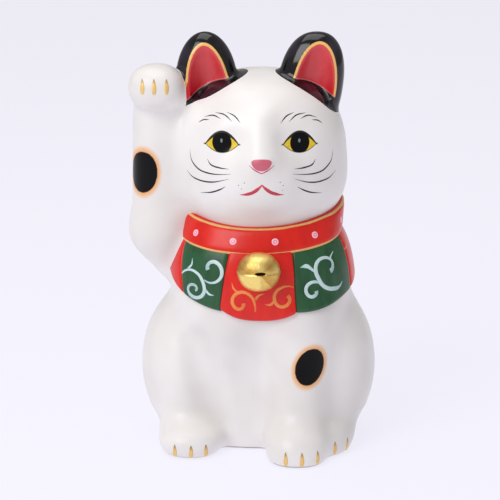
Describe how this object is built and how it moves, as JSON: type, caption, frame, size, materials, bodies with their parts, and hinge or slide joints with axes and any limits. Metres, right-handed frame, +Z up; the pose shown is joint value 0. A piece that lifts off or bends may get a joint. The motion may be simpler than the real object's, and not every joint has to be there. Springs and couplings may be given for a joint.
{
  "type": "beckoning cat figurine",
  "caption": "Seated beckoning cat ornament of hollow glazed ceramic, one forepaw raised beside its head, with a collar, bell, bib and a soft base stopper.",
  "frame": {"origin": "middle of the foot that the cat stands on, in the plane of symmetry of its head and torso", "axes": "+Z up, -Y out of the cat's face, +X towards the cat's left"},
  "size_m": [0.1042, 0.1025, 0.1764],
  "materials": {
    "white_glaze": "gloss",
    "black_enamel": "gloss",
    "red_enamel": "gloss",
    "green_enamel": "gloss",
    "gold_enamel": "polished",
    "stopper_rubber": "matte"
  },
  "bodies": {
    "figure": {"body_shell": "white_glaze", "head_shell": "white_glaze", "raised_arm": "white_glaze", "right_ear": "black_enamel", "left_ear": "black_enamel", "left_foreleg": "white_glaze", "right_hind_paw": "white_glaze", "left_hind_paw": "white_glaze", "tail": "white_glaze", "collar": "red_enamel", "bib_red_panels": "red_enamel", "bib_green_panels": "green_enamel", "bell": "gold_enamel"},
    "stopper": {"base_stopper": "stopper_rubber"}
  },
  "joints": [
    {"name": "stopper_pull", "type": "slide", "parent": "figure", "child": "stopper", "axis": [0, 0, -1], "range_m": [0, 0.03]}
  ]
}
